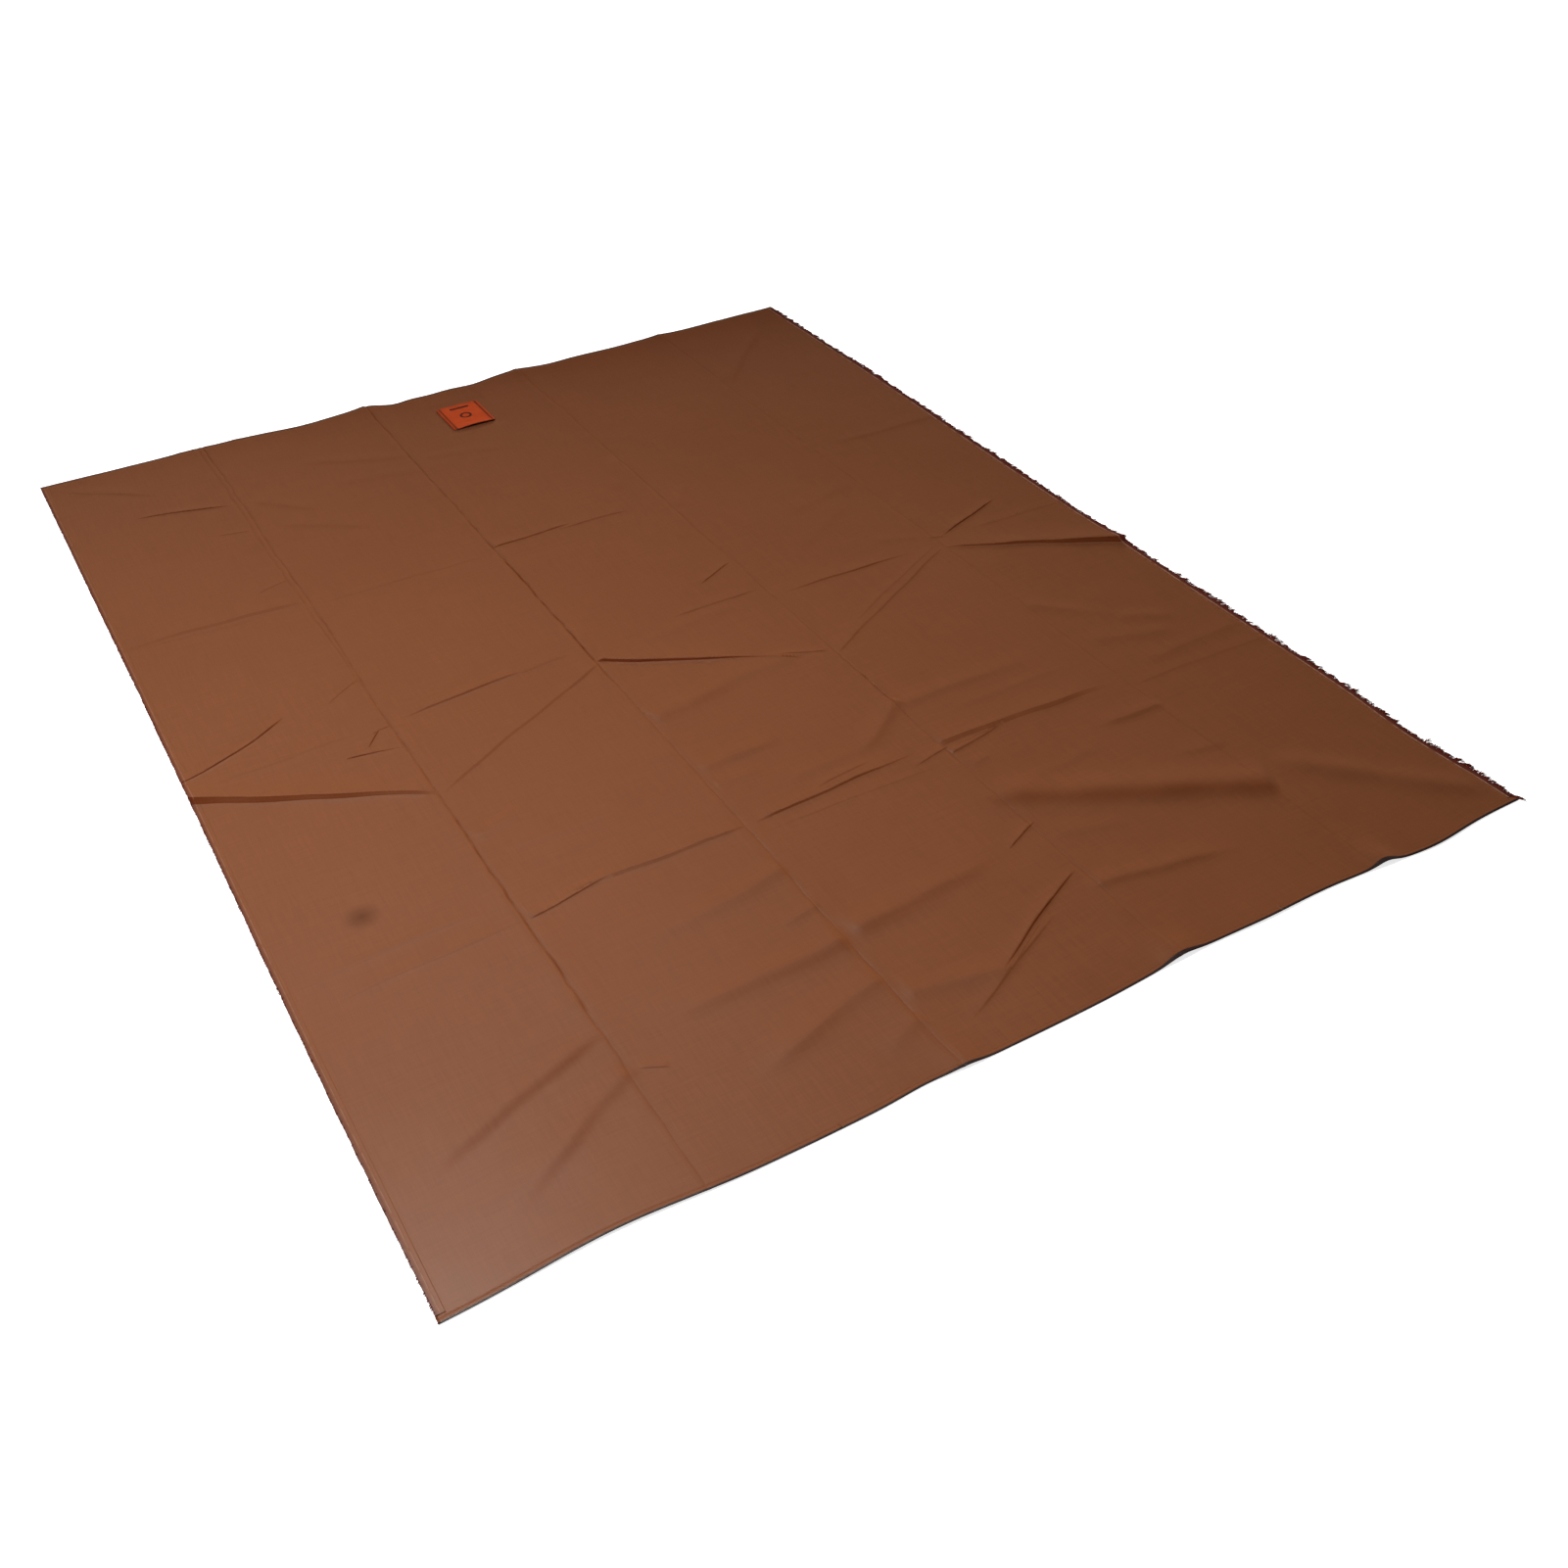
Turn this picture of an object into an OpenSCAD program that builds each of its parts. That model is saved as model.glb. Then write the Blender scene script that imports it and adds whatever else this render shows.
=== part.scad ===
// Fabric spa cover sheet: one width of woven cloth with two turned hems, two selvedges
// and a sewn leather label. It is pressed into five lengthwise strips that fold on each
// other. The sheet lies on the ground plane: +Y points to the head edge, where the label
// is, and the origin is the centre of the underside.

/* [Sheet] */
// Overall width, from the left selvedge to the tips of the right fringe
sheet_w = 1500; // [1300:10:1700]
// Overall length, from hem to hem
sheet_l = 1950; // [1600:10:2300]
// Thickness of one layer of the woven cloth
cloth_t = 0.6; // [0.4:0.1:1]

/* [Strips] */
// Width of each of the three inner strips, between two creases
inner_strip_w = 315; // [280:5:350]
// Width of the outer strip at the left
left_strip_w = 285; // [200:5:310]
// Slit that stands for the pressed crease between two strips
crease_slit = 1; // [0.6:0.2:2]

/* [Hems] */
// Width of the turned hem along both short edges
hem_w = 9; // [6:1:14]
// Layers of cloth in the hem
hem_layers = 3; // [2:1:3]
// How far the hem's stitch line lies inside the short edge
stitch_inset = 6.5; // [4:0.5:9]

/* [Selvedges] */
// Width of the dense woven band along both long edges
selvedge_w = 11; // [8:1:16]
// Extra thickness of the dense band over the plain cloth
selvedge_rise = 0.4; // [0.2:0.1:0.8]
// Longest yarn end that stands out of the right selvedge
fringe_right = 10; // [6:1:14]
// Longest yarn end that stands out of the left selvedge
fringe_left = 3; // [2:1:5]
// Spacing of the yarn ends along the edge
yarn_pitch = 13; // [10:1:20]

/* [Label] */
// Width of the leather label, across the sheet
label_w = 84; // [60:1:120]
// Length of the leather label, along the sheet
label_l = 101; // [60:1:120]
// Thickness of the leather
label_t = 1.6; // [1:0.1:2.5]
// Distance from the head edge to the centre of the label
label_from_head = 136; // [90:1:300]
// Depth of the plain marks pressed into the leather
mark_depth = 0.4; // [0.2:0.1:0.6]

/* [Stitches] */
// Spacing of the modelled stitches along a seam
stitch_pitch = 12; // [10:1:20]
// Length of one stitch
stitch_l = 8; // [5:1:9]
// Diameter of the sewing thread
thread_d = 0.7; // [0.5:0.1:1]

/* [Hidden] */

cloth_colour = [0.45, 0.26, 0.17];
hem_colour = [0.40, 0.23, 0.15];
selvedge_colour = [0.24, 0.12, 0.10];
leather_colour = [0.62, 0.24, 0.11];
thread_colour = [0.33, 0.18, 0.12];
label_thread_colour = [0.50, 0.20, 0.10];

// The five strips from left to right, as the X where each one starts, and the far edge.
left_edge = -sheet_w / 2;
strip_starts = [
  left_edge,
  left_edge + left_strip_w,
  left_edge + left_strip_w + inner_strip_w,
  left_edge + left_strip_w + 2 * inner_strip_w,
  left_edge + left_strip_w + 3 * inner_strip_w,
  left_edge + sheet_w
];
last_strip = len(strip_starts) - 2;

hem_t = hem_layers * cloth_t;
selvedge_t = cloth_t + selvedge_rise;
thread_r = thread_d / 2;
left_band_x = left_edge + fringe_left;
right_band_x = left_edge + sheet_w - fringe_right;
panel_end_y = sheet_l / 2 - hem_w;
label_y = sheet_l / 2 - label_from_head;
label_corner_r = 5;
label_stitch_inset = 6;
round_fn = 32;

// Where the plain cloth of a strip starts and ends in X, between its creases or selvedges.
function cloth_x0(i) = i == 0 ? left_band_x + selvedge_w : strip_starts[i] + crease_slit / 2;
function cloth_x1(i) =
  i == last_strip ? right_band_x - selvedge_w : strip_starts[i + 1] - crease_slit / 2;

// Where the hem of a strip starts and ends in X: it runs over the selvedge to the corner.
function hem_x0(i) = i == 0 ? left_band_x : cloth_x0(i);
function hem_x1(i) = i == last_strip ? right_band_x : cloth_x1(i);

// How far one yarn end reaches, as a share of the longest: an uneven but regular pattern.
function yarn_share(k) = 0.55 + 0.25 * sin(k * 77) + 0.2 * sin(k * 131);

// One strip of plain cloth between the two hems.
module cloth_panel(i) {
  color(cloth_colour)
    translate([cloth_x0(i), -panel_end_y, 0])
      cube([cloth_x1(i) - cloth_x0(i), 2 * panel_end_y, cloth_t]);
}

// Cross-section of a hem in its own plane: flat layers with a rounded turned edge.
module hem_section() {
  edge_r = hem_t / 2;
  union() {
    square([hem_w - edge_r, hem_t]);
    translate([hem_w - edge_r, edge_r])
      circle(r = edge_r, $fn = round_fn);
  }
}

// The turned hem of strip i, with end = 1 at the head and -1 at the foot.
module hem(i, end) {
  color(hem_colour)
    mirror([0, end < 0 ? 1 : 0, 0])
      translate([hem_x0(i), panel_end_y, 0])
        rotate([90, 0, 90])
          linear_extrude(height = hem_x1(i) - hem_x0(i))
            hem_section();
}

// One stitch: a short round thread that lies along X, with its axis through the origin.
module stitch(length) {
  translate([-length / 2, 0, 0])
    rotate([0, 90, 0])
      cylinder(r = thread_r, h = length, $fn = round_fn);
}

// A straight run of stitches along X, evenly spaced in the given length from the origin.
module stitch_run(run_l) {
  count = floor(run_l / stitch_pitch);
  margin = (run_l - (count - 1) * stitch_pitch) / 2;
  for (k = [0:count - 1])
    translate([margin + k * stitch_pitch, 0, 0])
      stitch(stitch_l);
}

// The stitches of strip i's hem, with end = 1 at the head and -1 at the foot.
module hem_stitches(i, end) {
  color(thread_colour)
    translate([hem_x0(i), end * (sheet_l / 2 - stitch_inset), hem_t + thread_r])
      stitch_run(hem_x1(i) - hem_x0(i));
}

// A selvedge along Y: a dense band with yarn ends that reach out of its side at +X.
module selvedge(reach) {
  count = floor(2 * panel_end_y / yarn_pitch);
  margin = (2 * panel_end_y - count * yarn_pitch) / 2;
  yarn_tips = [
    for (k = [0:count - 1])
      [selvedge_w + reach * yarn_share(k), -panel_end_y + margin + (k + 0.5) * yarn_pitch]
  ];
  yarn_roots = [
    for (k = [0:count - 2])
      [selvedge_w, -panel_end_y + margin + (k + 1) * yarn_pitch]
  ];
  outline = concat(
    [[0, -panel_end_y], [selvedge_w, -panel_end_y]],
    [for (k = [0:count - 2]) each [yarn_tips[k], yarn_roots[k]]],
    [yarn_tips[count - 1], [selvedge_w, panel_end_y], [0, panel_end_y]]
  );
  linear_extrude(height = selvedge_t)
    polygon(outline);
}

module selvedge_left() {
  color(selvedge_colour)
    translate([left_band_x + selvedge_w, 0, 0])
      mirror([1, 0, 0])
        selvedge(fringe_left);
}

module selvedge_fringe_right() {
  color(selvedge_colour)
    translate([right_band_x - selvedge_w, 0, 0])
      selvedge(fringe_right);
}

// Outline of the label: a rectangle with rounded corners.
module label_outline() {
  corner_x = label_w / 2 - label_corner_r;
  corner_y = label_l / 2 - label_corner_r;
  union() {
    square([label_w, 2 * corner_y], center = true);
    square([2 * corner_x, label_l], center = true);
    for (x = [-corner_x, corner_x])
      for (y = [-corner_y, corner_y])
        translate([x, y])
          circle(r = label_corner_r, $fn = round_fn);
  }
}

// Generic marks pressed into the label: a plain bar near the head and a plain ring.
module label_marks() {
  bar_w = 0.44 * label_w;
  bar_l = 0.06 * label_l;
  ring_r = 0.13 * label_w;
  groove_w = 0.04 * label_w;
  translate([-bar_w / 2, 0.34 * label_l - bar_l / 2])
    square([bar_w, bar_l]);
  translate([0, -0.01 * label_l])
    difference() {
      circle(r = ring_r, $fn = 2 * round_fn);
      circle(r = ring_r - groove_w, $fn = 2 * round_fn);
    }
}

module leather_label() {
  color(leather_colour)
    translate([0, label_y, cloth_t])
      difference() {
        linear_extrude(height = label_t)
          label_outline();
        translate([0, 0, label_t - mark_depth])
          linear_extrude(height = 2 * mark_depth)
            label_marks();
      }
}

// The stitches along one end of the label, with side = -1 at the left and 1 at the right.
module label_stitches(side) {
  run_l = label_l - 2 * label_corner_r;
  color(label_thread_colour)
    translate([side * (label_w / 2 - label_stitch_inset), label_y, cloth_t + label_t])
      rotate([0, 0, 90])
        translate([-run_l / 2, 0, thread_r])
          stitch_run(run_l);
}

cloth_panel(0);  // panel_left
cloth_panel(1);  // panel_left_middle
cloth_panel(2);  // panel_centre
cloth_panel(3);  // panel_right_middle
cloth_panel(4);  // panel_right
hem(0, 1);  // head_hem_left
hem(1, 1);  // head_hem_left_middle
hem(2, 1);  // head_hem_centre
hem(3, 1);  // head_hem_right_middle
hem(4, 1);  // head_hem_right
hem(0, -1);  // foot_hem_left
hem(1, -1);  // foot_hem_left_middle
hem(2, -1);  // foot_hem_centre
hem(3, -1);  // foot_hem_right_middle
hem(4, -1);  // foot_hem_right
hem_stitches(0, 1);  // head_stitches_left
hem_stitches(1, 1);  // head_stitches_left_middle
hem_stitches(2, 1);  // head_stitches_centre
hem_stitches(3, 1);  // head_stitches_right_middle
hem_stitches(4, 1);  // head_stitches_right
hem_stitches(0, -1);  // foot_stitches_left
hem_stitches(1, -1);  // foot_stitches_left_middle
hem_stitches(2, -1);  // foot_stitches_centre
hem_stitches(3, -1);  // foot_stitches_right_middle
hem_stitches(4, -1);  // foot_stitches_right
selvedge_left();
selvedge_fringe_right();
leather_label();
label_stitches(-1);  // label_stitches_left
label_stitches(1);  // label_stitches_right
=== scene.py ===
"""Looks of the fabric spa cover sheet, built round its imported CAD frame.

Everything is in metres in the row frame: +X points to the fringed edge, +Y to the head edge with
the label, and +Z up. One function, sheet_point(), gives the shape of the whole cloth with all of
its creases and wrinkles, and every piece of cloth, hem, selvedge and stitch is laid on it. The
label is stiff and lies flat on top.

Two shares say where something is on the sheet: u is 0 at its left tip and 1 at its right tip, and
v is 0 at its head edge and 1 at its foot edge.
"""
import math

import bmesh
import bpy
import numpy as np
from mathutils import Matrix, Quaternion, Vector


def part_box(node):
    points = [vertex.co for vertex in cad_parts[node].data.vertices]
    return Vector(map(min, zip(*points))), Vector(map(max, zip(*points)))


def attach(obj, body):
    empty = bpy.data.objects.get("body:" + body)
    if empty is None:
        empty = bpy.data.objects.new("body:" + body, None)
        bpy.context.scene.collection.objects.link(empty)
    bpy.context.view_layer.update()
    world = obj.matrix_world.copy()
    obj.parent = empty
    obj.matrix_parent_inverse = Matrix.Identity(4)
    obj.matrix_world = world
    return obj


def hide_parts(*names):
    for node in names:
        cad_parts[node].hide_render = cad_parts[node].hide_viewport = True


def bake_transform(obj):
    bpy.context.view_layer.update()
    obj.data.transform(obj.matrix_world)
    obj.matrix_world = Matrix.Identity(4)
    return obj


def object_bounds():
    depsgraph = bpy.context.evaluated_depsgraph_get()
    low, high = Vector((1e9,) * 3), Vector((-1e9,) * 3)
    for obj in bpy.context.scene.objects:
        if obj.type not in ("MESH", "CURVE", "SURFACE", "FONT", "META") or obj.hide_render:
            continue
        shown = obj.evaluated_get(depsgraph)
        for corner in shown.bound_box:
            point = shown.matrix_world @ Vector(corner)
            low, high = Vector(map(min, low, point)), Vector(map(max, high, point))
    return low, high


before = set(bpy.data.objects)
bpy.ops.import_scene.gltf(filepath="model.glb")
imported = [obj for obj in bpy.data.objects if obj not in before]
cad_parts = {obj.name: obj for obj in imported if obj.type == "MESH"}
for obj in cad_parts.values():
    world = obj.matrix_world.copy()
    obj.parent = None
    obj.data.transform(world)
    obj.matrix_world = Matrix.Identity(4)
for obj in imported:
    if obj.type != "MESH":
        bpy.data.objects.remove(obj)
cad_low, cad_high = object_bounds()

# ---------------------------------------------------------------- places, all from the CAD frame
MM = 0.001
STRIPS = ["left", "left_middle", "centre", "right_middle", "right"]
PANEL_BOXES = [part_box("panel_" + name) for name in STRIPS]

LEFT_BAND, LEFT_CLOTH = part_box("head_hem_left")[0].x, PANEL_BOXES[0][0].x
RIGHT_CLOTH, RIGHT_BAND = PANEL_BOXES[4][1].x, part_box("head_hem_right")[1].x
LEFT_TIP, RIGHT_TIP = cad_low.x, cad_high.x
HEAD_Y, FOOT_Y = cad_high.y, cad_low.y
HEAD_SEAM, FOOT_SEAM = PANEL_BOXES[2][1].y, PANEL_BOXES[2][0].y
WIDTH, LENGTH = RIGHT_TIP - LEFT_TIP, HEAD_Y - FOOT_Y
CLOTH_T = PANEL_BOXES[2][1].z
HEM_WIDTH = HEAD_Y - HEAD_SEAM
HEM_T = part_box("head_hem_centre")[1].z
BAND_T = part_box("selvedge_left")[1].z
LABEL_LOW, LABEL_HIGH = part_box("leather_label")
LABEL_X, LABEL_Y, _ = (LABEL_LOW + LABEL_HIGH) / 2
LABEL_WIDTH, LABEL_LENGTH, LABEL_T = LABEL_HIGH - LABEL_LOW
STITCH_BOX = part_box("head_stitches_centre")
STITCH_INSET = HEAD_Y - (STITCH_BOX[0].y + STITCH_BOX[1].y) / 2
STITCH_SHARE = STITCH_INSET / HEM_WIDTH

# The four creases, from left to right, and the middles of the inner strips, where pieces meet.
CREASES = [(PANEL_BOXES[k][1].x + PANEL_BOXES[k + 1][0].x) / 2 for k in range(4)]
LAST = len(CREASES) - 1
MIDDLES = [(CREASES[k] + CREASES[k + 1]) / 2 for k in range(LAST)]
SPLITS = [LEFT_BAND] + MIDDLES + [RIGHT_BAND]
# Where the foot and head parts of the cloth meet.
PART_Y = FOOT_Y + 0.56 * LENGTH


def place(u, v):
    """The point of the sheet at the shares u and v."""
    return LEFT_TIP + u * WIDTH, HEAD_Y - v * LENGTH


def shares_at(x, y):
    """The shares u and v of a point of the sheet."""
    return (x - LEFT_TIP) / WIDTH, (HEAD_Y - y) / LENGTH


# ---------------------------------------------------------------- curves and noise
def smooth_step(value):
    t = np.clip(value, 0, 1)
    return t * t * (3 - 2 * t)


def window(value, low, high, soft):
    """1 between low and high, and 0 outside, with soft ends."""
    return smooth_step((value - low) / soft + 0.5) * smooth_step((high - value) / soft + 0.5)


def bump(value, centre, width):
    return np.exp(-(((value - centre) / width) ** 2))


def bumps(rows, value):
    """The sum of several bumps. Each row holds a centre, a size and a half width."""
    return sum(size * bump(value, centre, width) for centre, size, width in rows)


def value_noise(x, y, scale, seed):
    """Smooth noise from 0 to 1 with bumps about scale metres apart."""
    size = 64
    table = np.random.default_rng(seed).random((size, size))

    def at(column, row):
        return table[column % size, row % size]

    gx, gy = x / scale + 500, y / scale + 500
    ix, iy = np.floor(gx).astype(int), np.floor(gy).astype(int)
    fx, fy = smooth_step(gx - ix), smooth_step(gy - iy)
    low = at(ix, iy) * (1 - fx) + at(ix + 1, iy) * fx
    high = at(ix, iy + 1) * (1 - fx) + at(ix + 1, iy + 1) * fx
    return low * (1 - fy) + high * fy


# ---------------------------------------------------------------- folds
# A pressed fold whose foot side is narrower than this gets a sharp line of painted shade. Others
# get a soft band of painted shade.
SHARP_BELOW = 10 * MM
# How far from a sharp line its distance is still held.
SHARP_REACH = 6 * MM


class Fold:
    """A fold or wrinkle along a line. It falls off at its own rate towards the head and the foot.

    It runs from (u0, v0) to (u1, v1), in thousandths. height, head, foot and bow are in mm. crisp is
    low for a sharp crest and 2 for a round one, and line is how dark the painted shade on its foot
    side is. ends holds the shares of the length over which it fades in and out. grow makes one end
    the stronger, from -1 for the start to 1 for the end.
    """

    def __init__(
        self, u0, v0, u1, v1, height, head, foot, crisp, line, bow=0.0, ends=(0.25, 0.25), grow=0.0
    ):
        self.start = np.array(place(u0 / 1000, v0 / 1000))
        step = np.array(place(u1 / 1000, v1 / 1000)) - self.start
        self.length = float(np.hypot(*step))
        self.direction = step / self.length
        self.height, self.head, self.foot, self.bow = (size * MM for size in (height, head, foot, bow))
        self.crisp, self.line, self.ends, self.grow = crisp, line, ends, grow
        self.sharp = line > 0 and self.foot < SHARP_BELOW
        # each fold wanders and swells in its own way
        self.phase = 40 * (u0 + 1.7 * v0) / 1000
        # past this distance its height is too small to see
        self.reach = 3.2 * max(self.head, self.foot) + abs(self.bow) + 4 * MM

    def near(self, x, y):
        """Which points this fold can touch, and how far they lie across and along it."""
        dx, dy = x - self.start[0], y - self.start[1]
        along = (dx * self.direction[0] + dy * self.direction[1]) / self.length
        across = dy * self.direction[0] - dx * self.direction[1]
        touched = np.nonzero((along > 0) & (along < 1) & (np.abs(across) < self.reach))[0]
        along, across = along[touched], across[touched]
        run = along * self.length
        wander = np.sin(run / (17 * MM) + self.phase) + 1.6 * np.sin(run / (41 * MM) + 2 * self.phase)
        shift = self.bow * 4 * along * (1 - along) + min(0.12 * self.foot, 0.8 * MM) * wander
        return touched, across - shift, along

    def growth(self, along):
        """How much stronger or weaker than its middle the fold is here."""
        return 1 + self.grow * (2 * along - 1)

    def share(self, along):
        """How strong the fold is along its length: it fades at its ends and swells unevenly."""
        fade = smooth_step(along / self.ends[0]) * smooth_step((1 - along) / self.ends[1])
        run = along * self.length
        swell = 0.84 + 0.16 * np.sin(run / (23 * MM) + 3 * self.phase) * np.sin(run / (57 * MM) + self.phase)
        return fade * swell * self.growth(along)

    def add_lift(self, total, x, y):
        """Adds the fold's height at these points."""
        touched, across, along = self.near(x, y)
        width = np.where(across > 0, self.head, self.foot)
        crest = np.exp(-((np.abs(across) / width) ** self.crisp))
        total[touched] += self.height * crest * self.share(along)

    def add_soft_band(self, total, x, y):
        """Adds how dark the soft band of painted shade on the fold's foot side is at these points."""
        touched, across, along = self.near(x, y)
        wide = self.foot * self.growth(along)
        shown = self.line * window(across, -0.92 * wide, -0.08 * wide, self.foot)
        total[touched] = np.maximum(total[touched], shown * np.sqrt(self.share(along)))

    def add_sharp_line(self, line, x, y):
        """Holds this fold's sharp line of painted shade at the points where it is the closest and strongest.

        line has rows for how far the point lies from the line's middle, half the line's width, how
        dark it is, and how strongly the fold it belongs to claims the point. Lengths are in mm.
        """
        touched, across, along = self.near(x, y)
        # a wide fold's line takes up more of its foot side than a narrow one's
        thin = np.clip(0.28 + 0.045 * (self.foot / MM - 4), 0.28, 0.46)
        half = thin * self.foot * self.growth(along)
        off = across + 0.5 * self.foot * self.growth(along)
        beyond = np.maximum(np.abs(off) - half, 0)
        tone = self.line * np.sqrt(self.share(along)) * (beyond < SHARP_REACH)
        claim = (self.line + 0.01) * np.exp(-((beyond / (4 * MM)) ** 2))
        won = (claim > line[3, touched]) & (beyond < 2 * SHARP_REACH)
        line[:, touched[won]] = np.stack([off / MM, half / MM, tone, claim])[:, won]
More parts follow.
